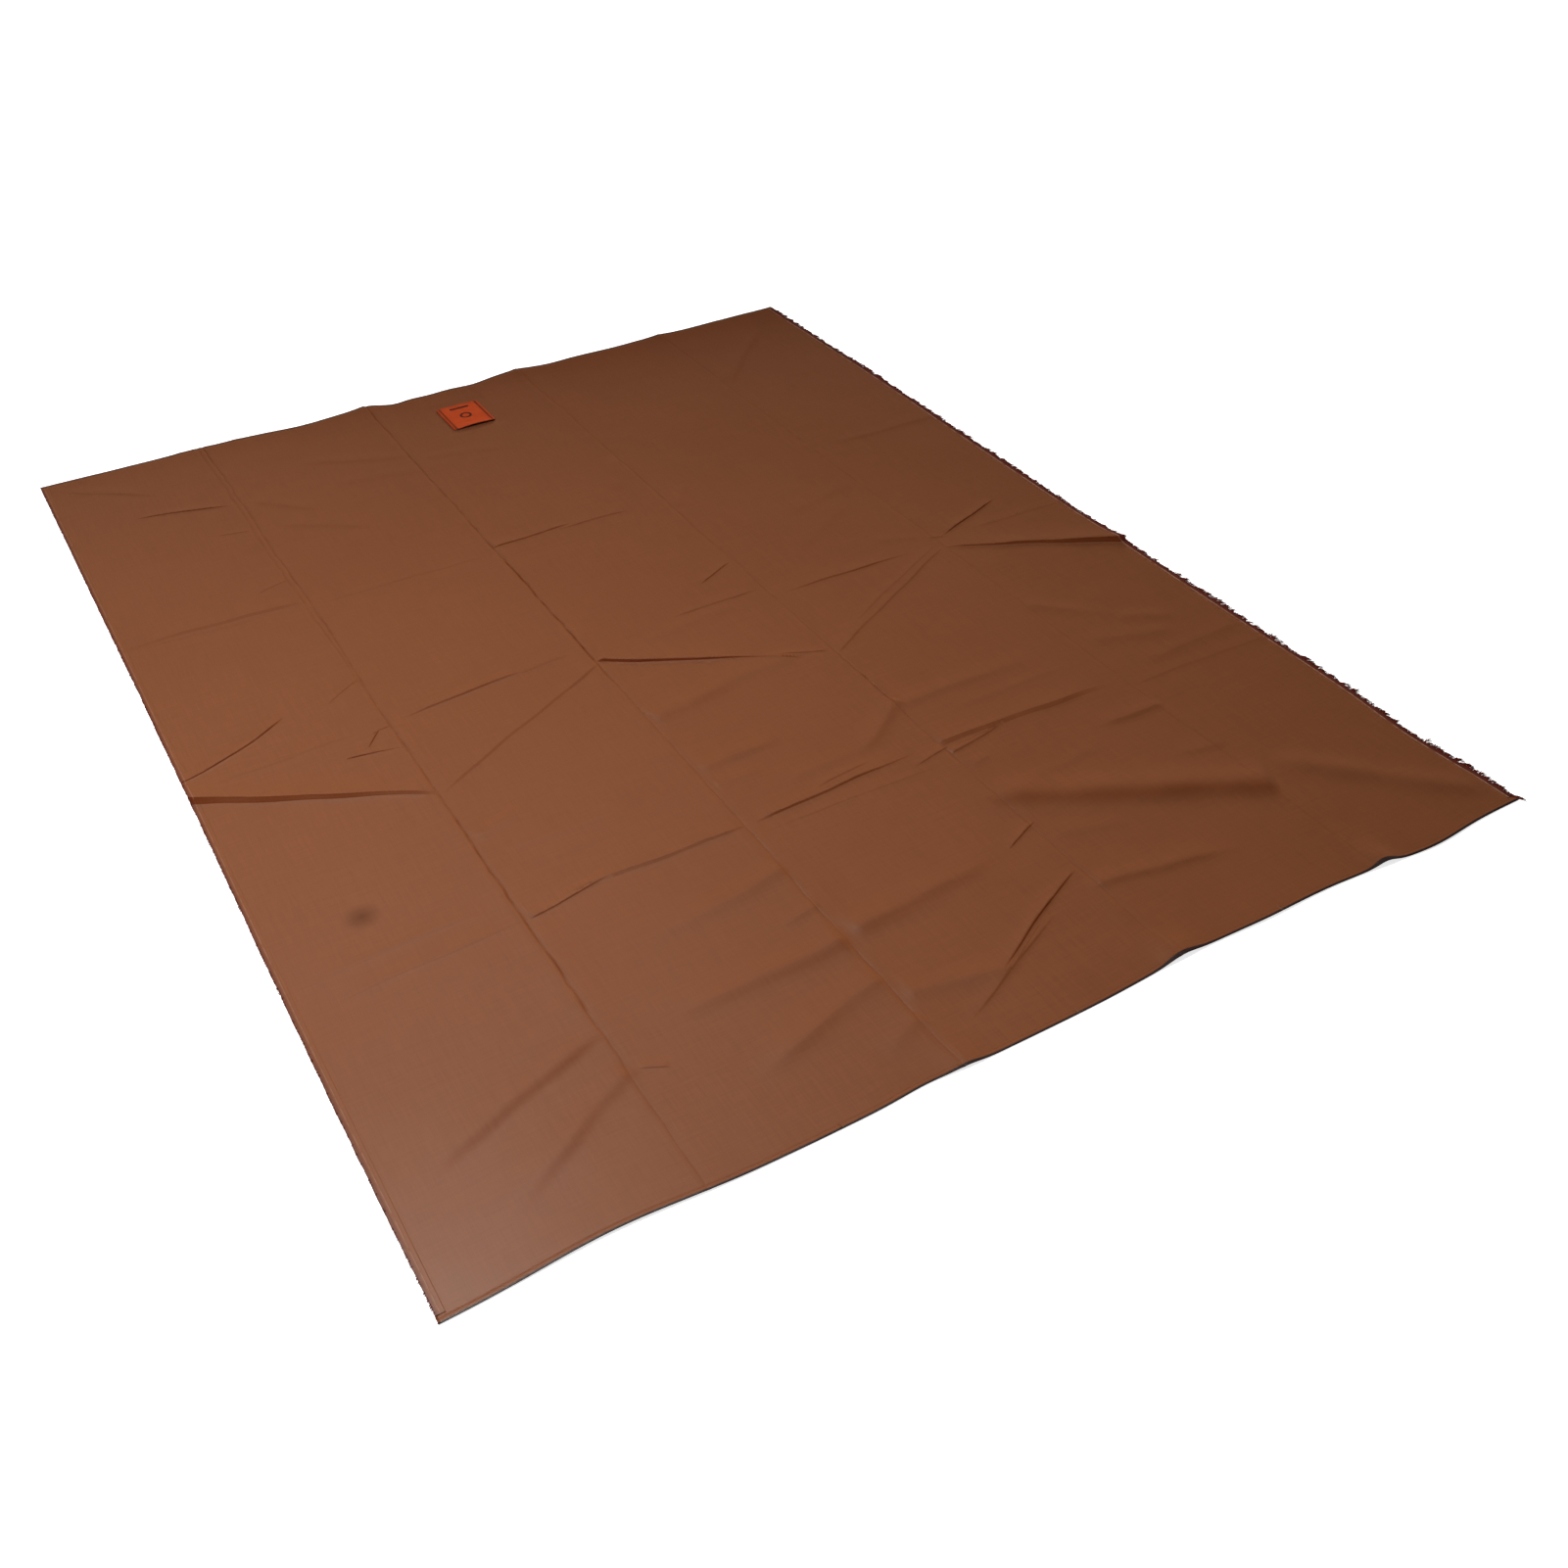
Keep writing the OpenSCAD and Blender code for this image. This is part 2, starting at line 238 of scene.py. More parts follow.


# The ends of each fold as u, v, u, v in thousandths, its height, its widths towards the head and the
# foot, how crisp it is and how dark its line of painted shade is, and then what differs from the usual.
FOLDS = [
    # the zigzag pressed across all five strips, mirrored at each lengthwise crease
    Fold(-14, 521, 192, 609, 4.6, 24, 9.5, 1.3, 0.62, ends=(0.04, 0.1), grow=-0.35),
    Fold(192, 611.5, 404, 525, 1.5, 18, 6, 1.3, 0.26, bow=2, ends=(0.15, 0.12)),
    Fold(401, 522, 560, 590, 3.8, 22, 5.4, 1.3, 1, bow=-2, ends=(0.05, 0.35), grow=-0.4),
    Fold(538, 581, 578, 601, 1.3, 10, 2.6, 1.6, 0.62, ends=(0.4, 0.3)),
    Fold(556, 586, 606, 604, 1.2, 10, 2.4, 1.6, 0.55, ends=(0.4, 0.2)),
    Fold(610, 610, 820, 521, 1.4, 16, 5, 1.3, 0.2, bow=2, ends=(0.06, 0.12)),
    Fold(655, 580, 815, 514, 0.9, 9, 4, 1.6, 0.12, ends=(0.2, 0.2)),
    Fold(816, 521, 1010, 598, 5.4, 28, 7, 1.35, 0.75, ends=(0.12, 0.04), grow=0.7),
    # the three cross creases, broken up from strip to strip
    Fold(0, 312, 185, 317, 2, 18, 8, 1.6, 0.2, ends=(0.5, 0.12)),
    Fold(20, 319, 150, 324, 0.7, 10, 6, 1.6, 0.05),
    Fold(200, 328, 400, 330, 0.6, 12, 5, 1.6, 0.08),
    Fold(400, 322.5, 496, 317.5, 2.3, 15, 4.5, 1.3, 0.55, ends=(0.06, 0.2)),
    Fold(480, 322.5, 562, 323, 1.4, 13, 4.5, 1.6, 0.3, ends=(0.3, 0.15)),
    Fold(840, 311, 1000, 315, 1, 18, 11, 1.6, 0.1, ends=(0.3, 0.1)),
    Fold(20, 518, 160, 514, 0.9, 13, 6, 1.6, 0.1),
    Fold(204, 512.5, 330, 504.5, 2.4, 17, 5, 1.3, 0.45, bow=1, ends=(0.3, 0.15)),
    Fold(300, 506, 385, 503, 0.9, 12, 6, 1.6, 0.12),
    Fold(500, 498.5, 605, 497, 1.5, 13, 4, 1.6, 0.28),
    Fold(450, 517, 580, 510, 1.3, 18, 11, 1.8, 0),
    Fold(625, 513, 780, 514, 2, 16, 4.5, 1.3, 0.45, ends=(0.35, 0.35)),
    Fold(860, 509.5, 1000, 511, 0.7, 12, 6, 1.6, 0.05),
    Fold(20, 740, 170, 734.5, 0.8, 13, 6, 1.6, 0.05),
    Fold(40, 764, 192, 757, 0.9, 14, 5, 1.6, 0.12),
    Fold(194, 759, 275, 747.5, 2.2, 15, 3.5, 1.3, 0.5, bow=-1, ends=(0.06, 0.3)),
    Fold(240, 748, 404, 751, 2.4, 18, 6.5, 1.4, 0.28, ends=(0.2, 0.15), grow=-0.2),
    Fold(410, 750.5, 585, 744, 2.6, 18, 5, 1.3, 0.5, ends=(0.12, 0.3), grow=-0.1),
    Fold(480, 742, 540, 735, 1.2, 10, 4.5, 1.6, 0.28),
    Fold(570, 757, 614, 750.5, 1.3, 9, 3.5, 1.6, 0.4, ends=(0.4, 0.1)),
    Fold(405, 762, 600, 765, 0.5, 8, 4, 1.6, 0.1),
    Fold(608, 744, 800, 748, 3, 20, 9, 1.4, 0.32, ends=(0.05, 0.25)),
    Fold(611, 759, 680, 747, 1.8, 10, 4, 1.6, 0.38, bow=-1.5, ends=(0.05, 0.4)),
    Fold(820, 760, 1000, 762.5, 0.6, 12, 6, 1.6, 0.06, ends=(0.1, 0.1)),
    Fold(850, 743, 1000, 737, 1.4, 20, 11, 1.6, 0.03),
    # short sharp wrinkles
    Fold(80, 107, 181, 127.5, 2.6, 12, 3.6, 1.3, 0.95, bow=2.5),
    Fold(556, 466.5, 606, 447.5, 1.8, 10, 3.2, 1.3, 0.65, bow=-1),
    Fold(830, 506, 930, 477.5, 2.6, 12, 3.8, 1.3, 0.9),
    Fold(815, 503, 836, 509, 0.8, 8, 3, 1.6, 0.3),
    Fold(-12, 508, 109, 465, 2.6, 12, 4, 1.3, 0.85, bow=-13, ends=(0.04, 0.2), grow=0.2),
    Fold(136, 538.5, 192, 548, 1.4, 9, 3.2, 1.6, 0.95, bow=1, ends=(0.2, 0.6), grow=-0.4),
    Fold(159, 535, 178, 518, 1.1, 7, 3, 1.6, 0.8),
    Fold(170, 519.5, 190, 518, 0.8, 7, 3, 1.6, 0.5),
    Fold(574, 861.5, 616, 847.5, 1.5, 9, 3, 1.3, 0.62, bow=-0.6),
    Fold(484, 948, 606, 900.5, 2.5, 12, 3.8, 1.3, 0.8, bow=3, ends=(0.25, 0.15)),
    Fold(430, 972, 560, 926, 1.2, 12, 4.5, 1.6, 0.25, bow=2),
    Fold(148, 174.5, 184, 182.5, 0.8, 9, 3, 1.6, 0.3),
    Fold(150, 288, 188, 279.5, 0.6, 9, 3, 1.6, 0.25),
    Fold(150, 468, 190, 448, 0.8, 9, 3, 1.6, 0.32),
    Fold(197, 904, 219, 912.5, 0.9, 8, 3, 1.6, 0.4),
    # soft folds
    Fold(592, 806, 832, 902, 6.4, 33, 28, 2, 0.38, ends=(0.18, 0.05), grow=0.1),
    Fold(612, 862, 690, 882, 1.2, 18, 10, 1.8, 0),
    Fold(600, 918, 760, 944, 2.6, 20, 11, 1.6, 0.08, bow=4, ends=(0.1, 0.4), grow=-0.2),
    Fold(740, 786, 826, 790, 2.6, 18, 9, 1.6, 0.08, ends=(0.4, 0.1)),
    Fold(775, 842, 836, 850, 1.2, 12, 8, 1.6, 0, ends=(0.4, 0.2)),
    Fold(845, 876, 985, 984, 4.2, 24, 20, 1.9, 0, ends=(0.2, 0.15)),
    Fold(815, 628, 890, 682, 2.2, 16, 14, 1.8, 0, ends=(0.15, 0.5)),
    Fold(880, 680, 945, 706, 1.6, 16, 14, 1.8, 0),
    Fold(825, 694, 930, 722, 1.5, 20, 14, 1.8, 0),
    Fold(530, 728, 618, 684, 2.8, 20, 13, 1.7, 0.1, bow=-4, ends=(0.35, 0.08), grow=0.2),
    Fold(70, 962, 194, 900, 2.2, 18, 14, 1.5, 0.22, ends=(0.4, 0.1)),
    Fold(202, 128, 268, 176, 1.7, 22, 10, 1.7, 0.1, bow=-3),
    Fold(215, 183, 305, 232, 1.6, 22, 10, 1.7, 0.08),
    Fold(280, 80, 400, 124, 1.7, 22, 12, 1.7, 0.06),
    Fold(300, 136, 402, 157, 0.9, 18, 10, 1.8, 0),
    Fold(405, 133, 510, 152, 1, 18, 10, 1.8, 0),
    Fold(20, 18, 118, 74, 1.5, 18, 7, 1.6, 0.12),
    Fold(820, 150, 945, 42, 1.9, 22, 12, 1.7, 0.08),
    Fold(675, 462, 800, 410, 0.9, 24, 12, 1.8, 0),
    Fold(755, 482, 815, 500, 0.9, 14, 8, 1.7, 0),
    Fold(575, 292, 610, 222, 1.2, 14, 12, 1.8, 0),
    Fold(610, 345, 650, 305, 1, 14, 8, 1.7, 0),
    # wide soft bands that the cloth took from lying folded
    Fold(235, 880, 404, 877, 3.7, 23, 17, 1.6, 0.18, ends=(0.35, 0.08), grow=0.2),
    Fold(404, 874, 570, 861, 3.2, 23, 17, 1.6, 0.15, ends=(0.08, 0.4), grow=-0.2),
    Fold(40, 914, 194, 868, 1.7, 21, 14, 1.6, 0.32, bow=8),
    Fold(115, 868, 194, 832, 0.9, 18, 10, 1.8, 0),
    Fold(275, 816, 404, 800, 3, 21, 13, 1.6, 0.06, bow=-3, ends=(0.4, 0.08)),
    Fold(360, 847, 404, 842, 1.2, 12, 7, 1.7, 0.06, ends=(0.4, 0.1)),
    Fold(262, 946, 404, 914, 3.2, 23, 14, 1.6, 0.06, ends=(0.3, 0.1)),
    Fold(355, 970, 404, 954, 1.6, 16, 12, 1.7, 0, ends=(0.4, 0.1)),
    Fold(402, 934, 510, 949, 2.9, 21, 13, 1.7, 0, bow=-2, ends=(0.1, 0.3)),
    Fold(403, 613, 500, 600, 3.3, 25, 17, 1.7, 0.1, ends=(0.08, 0.3)),
    Fold(470, 600, 585, 596, 2.1, 21, 13, 1.7, 0),
    Fold(404, 682, 500, 680, 2.6, 18, 12, 1.7, 0.08, ends=(0.1, 0.4)),
    Fold(404, 704, 460, 702, 1.7, 14, 10, 1.7, 0, ends=(0.1, 0.4)),
    Fold(450, 725, 545, 720, 1.8, 16, 12, 1.7, 0),
    Fold(194, 668, 260, 655, 1.6, 16, 12, 1.7, 0, ends=(0.1, 0.5)),
    Fold(198, 688, 330, 692, 0.7, 12, 8, 1.7, 0),
    Fold(616, 690, 780, 694, 2.1, 18, 10, 1.7, 0, ends=(0.08, 0.4)),
    Fold(640, 714, 800, 716, 0.8, 12, 8, 1.7, 0),
    Fold(615, 778, 640, 772, 1, 9, 6, 1.7, 0),
    Fold(640, 810, 740, 806, 0.8, 14, 9, 1.7, 0),
    Fold(700, 405, 820, 385, 1, 24, 12, 1.8, 0),
]

# ---------------------------------------------------------------- lengthwise creases
# How deep each lengthwise crease is pressed, in mm.
CREASE_DEPTHS = [1.2, 1.5, 1.0, 0.45]
# How the relief and the dark line of painted shade of each crease change along it. Each row has the
# usual strength, and then the stretches where it differs: by how much, from and to which v, and how softly.
CREASE_RELIEF = [
    [0.85, (-0.50, 0.87, 1.2, 0.10)],
    [0.75, (0.35, 0.32, 0.53, 0.06), (-0.25, 0.56, 1.2, 0.06)],
    [0.60, (0.60, 0.605, 0.70, 0.03)],
    [0.60],
]
CREASE_TONES = [
    [0.20, (0.22, 0.60, 0.84, 0.08), (-0.10, 0.87, 1.2, 0.08)],
    [0.30, (0.28, 0.34, 0.53, 0.05), (-0.16, 0.56, 1.2, 0.06)],
    [0.13, (0.30, 0.605, 0.70, 0.03)],
    [0.10],
]
# The valley of a crease is this wide, and its shoulders reach this far.
PINCH = 2.8 * MM
DOUBLE_PINCH = 2.2 * MM
SHOULDER = 28 * MM
# How much weaker the second of the two lines of the first crease is.
SECOND_LINE = 0.7


def along_crease(row, v):
    """The strength that a row of the tables above gives at v."""
    return row[0] + sum(change * window(v, low, high, soft) for change, low, high, soft in row[1:])


def from_crease(x, y, k):
    """Distance to the right of crease k, whose pressed line wanders a little."""
    # each crease reads its own column of the noise
    column = 0 * y + 0.3 * k
    wide = value_noise(column, y, 75 * MM, seed=17)
    small = value_noise(column, y, 19 * MM, seed=18)
    return x - CREASES[k] - (2.8 * (wide - 0.5) + 1.8 * (small - 0.5)) * MM


def double_line(v):
    """How far apart the two lines of the first crease lie from its middle, towards the head."""
    return 4.6 * MM * window(v, -0.1, 0.42, 0.16)


def crease_lift(x, y):
    """The four pressed lengthwise creases: sharp valleys between two low shoulders."""
    _, v = shares_at(x, y)
    uneven = 0.7 + 0.6 * value_noise(0 * y, y, 38 * MM, seed=8)
    total = 0 * x
    for k, row in enumerate(CREASE_RELIEF):
        across = from_crease(x, y, k)
        shoulders = np.exp(-((across / SHOULDER) ** 2))
        pinch = np.exp(-np.abs(across) / PINCH)
        if k == 0:
            one = np.exp(-np.abs(across - double_line(v)) / DOUBLE_PINCH)
            other = SECOND_LINE * np.exp(-np.abs(across + double_line(v)) / DOUBLE_PINCH)
            pinch = np.maximum(one, other)
        depth = CREASE_DEPTHS[k] * MM * along_crease(row, v) * uneven
        total = total + depth * np.clip(shoulders - pinch, 0, 1)
    return total


def crease_tone(x, y):
    """How dark the lines of painted shade in the lengthwise creases are here."""
    _, v = shares_at(x, y)
    uneven = 0.45 + value_noise(0 * y, y, 16 * MM, seed=9)
    total = 0 * x
    for k, row in enumerate(CREASE_TONES):
        across = from_crease(x, y, k)
        apart, wide = 0, 1.7 * MM
        if k == 0:
            # this crease is blurred and wide at its foot end
            apart, wide = double_line(v), wide + 2.0 * MM * window(v, 0.86, 1.2, 0.12)
        lines = np.maximum(bump(across, apart, wide), SECOND_LINE * bump(across, -apart, wide))
        total = np.maximum(total, along_crease(row, v) * uneven * lines)
    return total


# ---------------------------------------------------------------- edges
# Where the short edges stand up: u, height in mm and half width.
HEAD_PEAKS = [
    (0.165, 1.6, 0.014), (0.232, 1.3, 0.014), (0.397, 2.8, 0.012), (0.607, 3.4, 0.014), (0.818, 2.4, 0.010),
    (1.0, 2.0, 0.010),
]
FOOT_PEAKS = [(0.405, 2.4, 0.014), (0.613, 5.2, 0.018), (0.83, 6.4, 0.013)]
FOOT_SWELLS = [(0.13, 2.0, 0.07), (0.70, 2.0, 0.06), (0.90, 1.5, 0.04)]
# How far the short edges are drawn in between the creases: u, mm and half width.
HEAD_SAGS = [
    (0.315, 8.5, 0.045), (0.434, 12.5, 0.020), (0.480, 12.0, 0.035), (0.540, 12.0, 0.028),
    (0.655, 5.5, 0.030), (0.740, 5.5, 0.050), (0.860, 2.5, 0.030),
]
FOOT_SAGS = [(0.12, 9, 0.07), (0.37, 4, 0.03), (0.63, 7, 0.07), (0.76, 5, 0.05), (0.885, -8, 0.045)]
# How far the long edges bulge outwards: v, mm and half width.
LEFT_BULGES = [(0.80, 3.5, 0.28)]
RIGHT_BULGES = [(0.20, 4.5, 0.15), (0.91, -7, 0.045)]
# How much the whole of each edge is moved, in mm.
LEFT_OUT, HEAD_IN = 4.5, 3.0
# How far in from the left, right and short edges their own shapes reach. The first two are shares of
# the width, and the last is in metres. The creases slant a little, and less near the sides.
LEFT_REACH, RIGHT_REACH, END_REACH = 0.17, 0.16, 0.16
SLANT_REACH = 0.15


def edge_lift(x, y):
    """The short edges stand up a little where the lengthwise creases reach them."""
    u, _ = shares_at(x, y)
    head = sum(height * np.exp(-np.abs(u - centre) / width) for centre, height, width in HEAD_PEAKS)
    foot = bumps(FOOT_PEAKS + FOOT_SWELLS, u)
    return (head * bump(y, HEAD_Y, 34 * MM) + foot * bump(y, FOOT_Y, 40 * MM)) * MM


def edge_drift(x, y):
    """How far the laid cloth lies from its flat outline, along x and along y."""
    u, v = shares_at(x, y)
    inner = smooth_step(u / SLANT_REACH) * smooth_step((1 - u) / SLANT_REACH)
    slant = 9 * (v - 0.48) * inner
    left = (LEFT_OUT + bumps(LEFT_BULGES, v)) * smooth_step(1 - u / LEFT_REACH)
    right = bumps(RIGHT_BULGES, v) * smooth_step((u - 1) / RIGHT_REACH + 1)
    head = (HEAD_IN + bumps(HEAD_SAGS, u)) * bump(y, HEAD_Y, END_REACH)
    foot = bumps(FOOT_SAGS, u) * bump(y, FOOT_Y, END_REACH)
    return (slant - left + right) * MM, (foot - head) * MM


# ---------------------------------------------------------------- the whole sheet
def label_calm(x, y):
    """Near 0 under the label, whose leather holds the cloth flat, and 1 away from it."""
    # the head edge is drawn in, so the label lies closer to the foot than its CAD place
    margin, drawn_in, soft = 14 * MM, 12 * MM, 24 * MM
    inside_x = window(x, LABEL_LOW.x - margin, LABEL_HIGH.x + margin, soft)
    inside_y = window(y, LABEL_LOW.y - margin, LABEL_HIGH.y + drawn_in + margin, soft)
    return 1 - inside_x * inside_y


def cloth_lift(x, y):
    """Height of the cloth's underside above the ground."""
    waves = 0.9 * value_noise(x, y, 0.17, seed=3) + 0.5 * value_noise(x, y, 0.085, seed=4)
    waves = (waves + 0.4 * value_noise(x, y, 0.042, seed=5)) * MM
    total = waves + crease_lift(x, y)
    for fold in FOLDS:
        fold.add_lift(total, x, y)
    return total * label_calm(x, y) + edge_lift(x, y)


def sheet_point(x, y, lift=0.0):
    """Where the point (x, y) of the flat sheet lies in space, lifted off the cloth's underside."""
    drift_x, drift_y = edge_drift(x, y)
    return np.stack([x + drift_x, y + drift_y, cloth_lift(x, y) + lift], axis=-1)


def sheet_normal(x, y):
    """Unit normal of the laid cloth at the point (x, y) of the flat sheet."""
    step = 0.6 * MM
    east = sheet_point(x + step, y) - sheet_point(x - step, y)
    north = sheet_point(x, y + step) - sheet_point(x, y - step)
    normal = np.cross(east, north)
    return normal / np.linalg.norm(normal, axis=-1, keepdims=True)


def soft_marks(x, y):
    """How dark the painted shade of the soft bands, the crease lines and the head end is here, from 0 to 1.
    """
    total = np.zeros(len(x))
    for fold in FOLDS:
        if fold.line > 0 and not fold.sharp:
            fold.add_soft_band(total, x, y)
    total = np.maximum(total, crease_tone(x, y))
    # painted shade: the head edge is darker, and so is the corner at its right, where less light falls
    rim = 0.10 * bump(y, HEAD_Y, 60 * MM) * smooth_step(value_noise(x, y, 0.2, seed=15) + 0.4)
    u, _ = shares_at(x, y)
    corner = 0.24 * smooth_step(u) * bump(y, HEAD_Y, 180 * MM)
    return np.clip(total + rim + corner, 0, 1)


def painted_shade_values(x, y):
    """The attributes that the cloth's materials draw their painted shade from.

    One holds the soft painted shade. Each sharp line of painted shade is held as the distance from its
    middle, half its width and its tone, and is drawn by the material, so that it doesn't depend on the mesh.
    """
    line = np.zeros((4, len(x)))
    line[0] = 2 * SHARP_REACH / MM
    for fold in FOLDS:
        if fold.sharp:
            fold.add_sharp_line(line, x, y)
    return {"marks": soft_marks(x, y), "line_off": line[0], "line_half": line[1], "line_tone": line[2]}


# ---------------------------------------------------------------- meshes
def mesh_object(name, points, faces, normals=None, rest=None, **values):
    """An object from vertex positions and quads, with smooth shading.

    Each of values, such as the painted shade, is held as an attribute for the material.
    """
    points = np.asarray(points, float)
    faces = np.asarray(faces, np.int32)
    mesh = bpy.data.meshes.new(name)
    mesh.vertices.add(len(points))
    mesh.vertices.foreach_set("co", points.astype(np.float32).ravel())
    mesh.loops.add(faces.size)
    mesh.loops.foreach_set("vertex_index", faces.ravel())
    mesh.polygons.add(len(faces))
    mesh.polygons.foreach_set("loop_start", np.arange(len(faces), dtype=np.int32) * faces.shape[1])
    mesh.update(calc_edges=True)
    mesh.polygons.foreach_set("use_smooth", np.ones(len(faces), bool))
    rest = points if rest is None else rest
    held = mesh.attributes.new("rest", "FLOAT_VECTOR", "POINT")
    held.data.foreach_set("vector", np.asarray(rest, np.float32).ravel())
    for label, numbers in values.items():
        attribute = mesh.attributes.new(label, "FLOAT", "POINT")
        attribute.data.foreach_set("value", np.asarray(numbers, np.float32).ravel())
    if normals is not None:
        mesh.normals_split_custom_set_from_vertices([tuple(n) for n in normals])
    made = bpy.data.objects.new(name, mesh)
    bpy.context.scene.collection.objects.link(made)
    return made


def grid_faces(rows, columns, closed=False):
    """Quads of a grid of vertices stored row by row. A closed grid joins its last column to its first."""
    i = np.arange(rows - 1)[:, None] * columns
    j = np.arange(columns if closed else columns - 1)[None, :]
    k = (j + 1) % columns
    return np.stack([i + j, i + k, i + columns + k, i + columns + j], axis=-1).reshape(-1, 4)


def closed_sheet_faces(rows, columns):
    """Quads of a sheet's top, its underside and its rim. The underside's vertices follow the top's."""
    count = rows * columns
    index = np.arange(count).reshape(rows, columns)
    rim = np.concatenate([index[0, :-1], index[:-1, -1], index[-1, :0:-1], index[:0:-1, 0]])
    after = np.roll(rim, -1)
    top = grid_faces(rows, columns)
    return np.concatenate([
        top,
        top[:, ::-1] + count,
        np.stack([rim, rim + count, after + count, after], axis=-1),
    ])


def flat_rest(x, y):
    """Where these points lie on the flat sheet, which is where the materials draw their patterns."""
    return np.stack([x, y, 0 * x], axis=-1)


def two_sided_sheet(name, top, under, faces, x, y, values, normal=None):
    """A closed sheet with a top and an underside that share their flat places and attributes."""
    return mesh_object(
        name,
        np.concatenate([top, under]),
        faces,
        None if normal is None else np.concatenate([normal, -normal]),
        np.tile(flat_rest(x, y), (2, 1)),
        **{label: np.tile(numbers, 2) for label, numbers in values.items()},
    )


def lines_with_detail(low, high, step, crease):
    """Grid lines from low to high, step apart, and finer where the cloth bends at the crease."""
    fine, count = 1.2 * MM, 9
    near = [crease + k * fine for k in range(-count, count + 1)]
    near = [p for p in near if low < p < high]
    lines = np.linspace(low, high, max(2, int(round((high - low) / step)) + 1))
    lines = [p for p in lines if p in (low, high) or min(abs(p - q) for q in near) > 0.6 * fine]
    return np.array(sorted(lines + near))


# ---------------------------------------------------------------- materials
class Graph:
    """The node tree of a material or of the world, with short ways to add nodes to it."""

    def __init__(self, owner):
        owner.use_nodes = True
        self.owner = owner
        self.nodes, self.links = owner.node_tree.nodes, owner.node_tree.links

    def feed(self, socket, value):
        """Links another node's output to a socket, or sets the socket to a number or a colour."""
        if hasattr(value, "is_linked"):
            self.links.new(value, socket)
        else:
            socket.default_value = value

    def put(self, name, value):
        """Feeds one of the inputs of a material's surface shader."""
        self.feed(self.nodes["Principled BSDF"].inputs[name], value)

    def math(self, operation, *values, clamp=False):
        node = self.nodes.new("ShaderNodeMath")
        node.operation = operation
        node.use_clamp = clamp
        for socket, value in zip(node.inputs, values):
            self.feed(socket, value)
        return node.outputs[0]

    def mix(self, share, first, second, blend="MIX"):
        node = self.nodes.new("ShaderNodeMix")
        node.data_type = "RGBA"
        node.blend_type = blend
        for index, value in ((0, share), (6, first), (7, second)):
            self.feed(node.inputs[index], value)
        return node.outputs[2]

    def noise(self, vector, scale, detail=3.0, roughness=0.5):
        node = self.nodes.new("ShaderNodeTexNoise")
        values = {"Vector": vector, "Scale": scale, "Detail": detail, "Roughness": roughness}
        for label, value in values.items():
            self.feed(node.inputs[label], value)
        return node.outputs[0]

    def attribute(self, name, output="Fac"):
        node = self.nodes.new("ShaderNodeAttribute")
        node.attribute_name = name
        return node.outputs[output]

    def bump(self, height, strength, distance):
        node = self.nodes.new("ShaderNodeBump")
        for label, value in (("Strength", strength), ("Distance", distance), ("Height", height)):
            self.feed(node.inputs[label], value)
        return node.outputs["Normal"]

    def soft_below(self, value, limit, soft):
        """1 where value is below limit, 0 above it, with a soft step between."""
        node = self.nodes.new("ShaderNodeMapRange")
        node.interpolation_type = "SMOOTHSTEP"
        limits = (("From Min", -soft), ("From Max", soft), ("To Min", 1.0), ("To Max", 0.0))
        for label, number in (("Value", self.math("SUBTRACT", value, limit)), *limits):
            self.feed(node.inputs[label], number)
        return node.outputs["Result"]

    def near_spot(self, vector, centre, reach):
        """1 at the centre of a round spot, falling to 0 at its reach."""
        away = self.nodes.new("ShaderNodeVectorMath")
        away.operation = "DISTANCE"
        self.feed(away.inputs[0], vector)
        self.feed(away.inputs[1], (*centre, 0))
        share = self.math("DIVIDE", away.outputs["Value"], reach)
        return self.math("SUBTRACT", 1.0, share, clamp=True)


def new_material(name):
    """A material's graph, and the places on the flat sheet that its patterns are drawn in."""
    graph = Graph(bpy.data.materials.new(name))
    return graph, graph.attribute("rest", "Vector")


CLOTH_COLOURS = (0.148, 0.0442, 0.0136, 1), (0.164, 0.0502, 0.0158, 1)
PAINTED_SHADE = (0.086, 0.0150, 0.0046, 1)
EDGE_SHADE = (0.018, 0.0085, 0.0078, 1)
STAIN = (0.070, 0.0215, 0.0072, 1)
BAND_COLOURS = (0.048, 0.0074, 0.0050, 1), (0.108, 0.0180, 0.0104, 1)
BAND_LINE = (0.46, 0.29, 0.23, 1)
LEATHER_COLOURS = (0.300, 0.0315, 0.0068, 1), (0.470, 0.0655, 0.0128, 1)
LEATHER_WORN_AND_SHADE = (0.030, 0.0085, 0.0050, 1)
THREAD_PITCH = 0.75 * MM
# How strong the noise is that is drawn out along the threads: fine threads, and then thicker slubs.
THREAD_STREAKS = [((900, 30, 1), 0.26), ((30, 900, 1), 0.26), ((260, 7, 1), 0.15), ((7, 260, 1), 0.13)]
# The stain is near the left edge. The cloth at the foot end's left corner is rubbed smooth.
STAIN_AT, STAIN_REACH = place(0.082, 0.7020), 25 * MM
RUBBED_AT, RUBBED_REACH = place(0.0, 1.0), 0.32


def weave_height(graph, spot):
    """Height of a plain weave: warp over weft on a chessboard."""
    axes = graph.nodes.new("ShaderNodeSeparateXYZ")
    graph.feed(axes.inputs[0], spot)
    turns = [graph.math("MULTIPLY", axis, math.pi / THREAD_PITCH) for axis in axes.outputs[0:2]]
    waves = [graph.math("SINE", turn) for turn in turns]
    crossing = graph.math("MULTIPLY", *waves)
    threads = graph.math("MINIMUM", *[graph.math("ABSOLUTE", wave) for wave in waves])
    return graph.math("ADD", graph.math("MULTIPLY", crossing, 0.5), threads)


